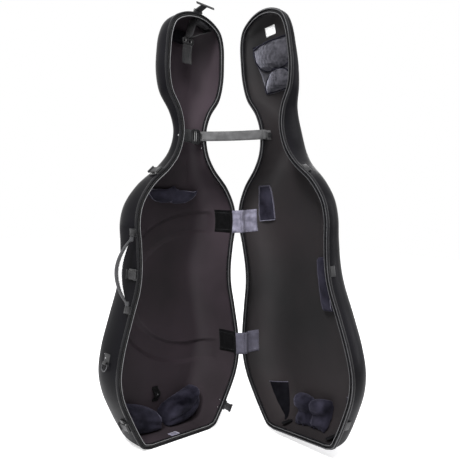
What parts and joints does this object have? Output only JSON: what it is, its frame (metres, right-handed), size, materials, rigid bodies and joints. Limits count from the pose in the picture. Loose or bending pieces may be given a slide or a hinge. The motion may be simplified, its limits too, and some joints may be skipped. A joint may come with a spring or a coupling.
{
  "type": "cello hard case",
  "caption": "Open two-part hard case for a cello: deep base and shallower hinged lid with latches, side handle, lining cushions, pockets and straps.",
  "frame": {"origin": "middle of the base's flat bottom end, in the rim plane", "axes": "+Z from the bottom end to the scroll end; +Y into the depth of the base; +X towards the hinges"},
  "size_m": [0.6048, 0.6585, 1.3143],
  "materials": {
    "shell": "satin black composite, faint blue-violet sheen",
    "trim": "black rim moulding",
    "rubber": "matt rubber seal",
    "grip": "dark grey moulded rubber",
    "hardware": "black hardware",
    "steel": "polished wire",
    "velvet": "dark navy velvet",
    "pale_velvet": "greyish lavender velvet",
    "black_webbing": "black woven webbing",
    "grey_webbing": "grey woven webbing"
  },
  "bodies": {
    "base": {"base_shell": "shell", "base_edging": "trim", "rim_seal": "rubber", "hinge_leaf_base_upper": "hardware", "hinge_leaf_base_lower": "hardware", "latch_plate_top": "hardware", "latch_plate_shoulder": "hardware", "latch_plate_middle": "hardware", "latch_plate_flank": "hardware", "latch_plate_lower": "hardware", "handle_bracket_lower": "hardware", "handle_bracket_upper": "hardware", "strap_ring_plate": "hardware", "neck_strap": "black_webbing", "neck_buckle": "hardware", "shoulder_cushion": "velvet", "bottom_cushion_left": "velvet", "bottom_cushion_right": "velvet", "head_pad": "velvet", "head_strap": "black_webbing", "head_strap_tail": "grey_webbing", "head_buckle": "hardware", "endpin_strap": "black_webbing", "grip_patch": "pale_velvet", "hinge_band_base_upper": "black_webbing", "hinge_band_base_lower": "black_webbing", "stay_strap": "grey_webbing", "stay_anchor_base": "hardware", "hinge_fold_upper": "pale_velvet", "hinge_fold_lower": "pale_velvet"},
    "lid": {"lid_shell": "shell", "lid_edging": "trim", "hinge_leaf_lid_upper": "hardware", "hinge_leaf_lid_lower": "hardware", "latch_keeper_top": "hardware", "latch_keeper_shoulder": "hardware", "latch_keeper_middle": "hardware", "latch_keeper_flank": "hardware", "latch_keeper_lower": "hardware", "side_pad": "velvet", "bridge_cushion": "velvet", "pouch_upper_pocket": "velvet", "pouch_lower_pocket": "velvet", "bow_tip_pocket_left": "velvet", "bow_tip_pocket_right": "velvet", "bow_frog_pocket_left": "velvet", "bow_frog_pocket_right": "velvet", "bottom_fixing_left": "trim", "bottom_fixing_right": "trim", "stay_anchor_lid": "hardware", "hinge_band_lid_upper": "pale_velvet", "hinge_band_lid_lower": "pale_velvet"},
    "latch_top": {"latch_lever_top": "hardware"},
    "latch_shoulder": {"latch_lever_shoulder": "hardware"},
    "latch_middle": {"latch_lever_middle": "hardware"},
    "latch_flank": {"latch_lever_flank": "hardware"},
    "latch_lower": {"latch_lever_lower": "hardware"},
    "handle": {"handle_grip": "grip"},
    "ring": {"strap_ring": "steel"}
  },
  "joints": [
    {"name": "lid_hinge", "type": "hinge", "parent": "base", "child": "lid", "pos_m": [0.24165, 0, 0.38905], "axis": [-0.1061, 0, 0.9944], "range_deg": [-78, 0], "deforming": ["stay_strap", "hinge_fold_upper", "hinge_fold_lower"]},
    {"name": "latch_top_lever", "type": "hinge", "parent": "base", "child": "latch_top", "pos_m": [0, 0.006, 1.3016], "axis": [1, 0, 0], "range_deg": [-158, 22]},
    {"name": "latch_shoulder_lever", "type": "hinge", "parent": "base", "child": "latch_shoulder", "pos_m": [-0.12949, 0.006, 0.81493], "axis": [0.7439, 0, 0.6683], "range_deg": [0, 180]},
    {"name": "latch_middle_lever", "type": "hinge", "parent": "base", "child": "latch_middle", "pos_m": [-0.2005, 0.006, 0.51532], "axis": [0.0425, 0, 0.9991], "range_deg": [0, 180]},
    {"name": "latch_flank_lever", "type": "hinge", "parent": "base", "child": "latch_flank", "pos_m": [-0.2056, 0.006, 0.08082], "axis": [-0.4884, 0, 0.8726], "range_deg": [0, 180]},
    {"name": "latch_lower_lever", "type": "hinge", "parent": "base", "child": "latch_lower", "pos_m": [0.19553, 0.006, 0.06282], "axis": [-0.4884, 0, -0.8726], "range_deg": [-88, 92]},
    {"name": "handle_pivot", "type": "hinge", "parent": "base", "child": "handle", "pos_m": [-0.22189, 0.009, 0.41869], "axis": [0.0383, 0, 0.9993], "range_deg": [-40, 95]},
    {"name": "ring_swing", "type": "hinge", "parent": "base", "child": "ring", "pos_m": [-0.25096, 0.06128, 0.26283], "axis": [0.0508, 0.9987, 0], "range_deg": [-10, 146]}
  ]
}
